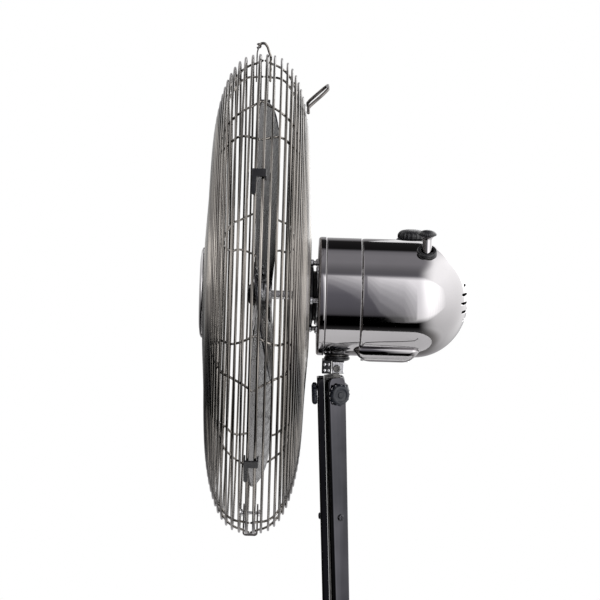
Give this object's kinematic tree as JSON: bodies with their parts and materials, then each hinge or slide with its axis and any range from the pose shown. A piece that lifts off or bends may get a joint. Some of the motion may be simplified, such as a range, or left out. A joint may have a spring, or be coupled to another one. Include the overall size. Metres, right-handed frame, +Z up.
{
  "type": "pedestal fan",
  "caption": "Pedestal fan on three slim curved legs, with a round wire guard, a domed motor housing, a tilting and swivelling neck and top controls.",
  "frame": {"origin": "on the floor, at the centre of the object's box; the column stands 78 mm behind it", "axes": "+Z up, the fan blows towards -Y, +X to the right of someone who stands behind the fan"},
  "size_m": [0.5662, 0.4939, 1.2576],
  "materials": {
    "black_chrome": "black chrome plate, mirror-bright with a smoky tint",
    "dark_wire": "gunmetal plated steel wire, bright",
    "steel": "bare or zinc-plated steel, satin",
    "black_plastic": "moulded black plastic, fine grain",
    "grey_plastic": "moulded grey plastic",
    "blade_metal": "dark plated aluminium sheet, bright",
    "rubber": "matte black rubber",
    "copper": "enamelled copper winding, glossy",
    "iron": "cast or laminated iron, bare and dull",
    "bronze": "oiled sintered bronze",
    "white_nylon": "white nylon"
  },
  "bodies": {
    "stand": {"leg_front": "black_chrome", "leg_left": "black_chrome", "leg_right": "black_chrome", "leg_screw_front": "black_chrome", "leg_screw_left": "black_chrome", "leg_screw_right": "black_chrome", "foot_front": "rubber", "foot_left": "rubber", "foot_right": "rubber", "leg_core": "iron", "neck_post": "iron"},
    "neck": {"tilt_bracket": "steel", "tilt_pin": "iron", "neck_cover": "black_plastic", "swivel_pin": "iron"},
    "head": {"housing_front_shell": "black_chrome", "housing_rear_shell": "black_chrome", "motor_front_plate": "black_chrome", "bottom_cover": "black_chrome", "badge": "black_chrome", "front_guard": "dark_wire", "rear_guard": "dark_wire", "top_clip": "dark_wire", "bottom_lug": "dark_wire", "carry_handle": "dark_wire", "lug_screw": "steel", "swivel_collar": "black_plastic", "knob_collar": "black_plastic", "dial_collar": "black_plastic", "badge_retainer": "black_plastic", "guard_boss": "black_plastic", "guard_nut": "black_plastic", "rim_clip_left": "black_plastic", "rim_clip_right": "black_plastic", "speed_switch": "grey_plastic", "capacitor": "grey_plastic", "front_winding": "copper", "rear_winding": "copper", "swivel_boss": "iron", "motor_front_bell": "iron", "motor_rear_bell": "iron", "stator_core": "iron", "gearbox_case": "iron", "front_bushing": "bronze", "rear_bushing": "bronze"},
    "rotor": {"shaft": "steel", "rotor_core": "iron", "worm": "steel", "fan_blade": "blade_metal", "blade_nut": "black_plastic"},
    "gear": {"worm_wheel": "white_nylon", "oscillation_crank": "steel"},
    "link": {"link_rod": "steel"},
    "oscillation_button": {"oscillation_knob": "black_plastic"},
    "dial": {"speed_dial": "black_plastic"},
    "knob_front": {"leg_knob_front": "black_plastic"},
    "knob_left": {"leg_knob_left": "black_plastic"},
    "knob_right": {"leg_knob_right": "black_plastic"}
  },
  "joints": [
    {"name": "head_tilt", "type": "hinge", "parent": "stand", "child": "neck", "pos_m": [0, 0.084, 0.954], "axis": [-1, 0, 0], "range_deg": [-11, 25]},
    {"name": "head_swivel", "type": "hinge", "parent": "neck", "child": "head", "pos_m": [0, 0.084, 0.954], "axis": [0, 0.0558, 0.9984], "range_deg": [-40, 40]},
    {"name": "blade_spin", "type": "hinge", "parent": "head", "child": "rotor", "pos_m": [0, 0.08768, 1.0199], "axis": [0, -0.9984, 0.0558], "continuous": true},
    {"name": "gear_spin", "type": "hinge", "parent": "head", "child": "gear", "pos_m": [0.0209, 0.14441, 0.95062], "axis": [0, 0.0558, 0.9984], "continuous": true},
    {"name": "link_swing", "type": "hinge", "parent": "gear", "child": "link", "pos_m": [0.0209, 0.1504, 0.95029], "axis": [0, 0.0558, 0.9984], "continuous": true},
    {"name": "oscillation_press", "type": "slide", "parent": "head", "child": "oscillation_button", "axis": [0, 0.0558, 0.9984], "range_m": [-0.006, 0]},
    {"name": "dial_turn", "type": "hinge", "parent": "head", "child": "dial", "pos_m": [-0.026, 0.1509, 0.95026], "axis": [0, 0.0558, 0.9984], "range_deg": [0, 120]},
    {"name": "knob_front_turn", "type": "hinge", "parent": "stand", "child": "knob_front", "pos_m": [0, 0.0686, 0.9295], "axis": [0, -1, 0], "continuous": true},
    {"name": "knob_left_turn", "type": "hinge", "parent": "stand", "child": "knob_left", "pos_m": [-0.00814, 0.0827, 0.9295], "axis": [-0.866, 0.5, 0], "continuous": true},
    {"name": "knob_right_turn", "type": "hinge", "parent": "stand", "child": "knob_right", "pos_m": [0.00814, 0.0827, 0.9295], "axis": [0.866, 0.5, 0], "continuous": true}
  ],
  "couplings": [
    {"joint": "gear_spin", "follows": "blade_spin", "ratio": 0.033333},
    {"joint": "link_swing", "follows": "blade_spin", "ratio": -0.033333}
  ]
}
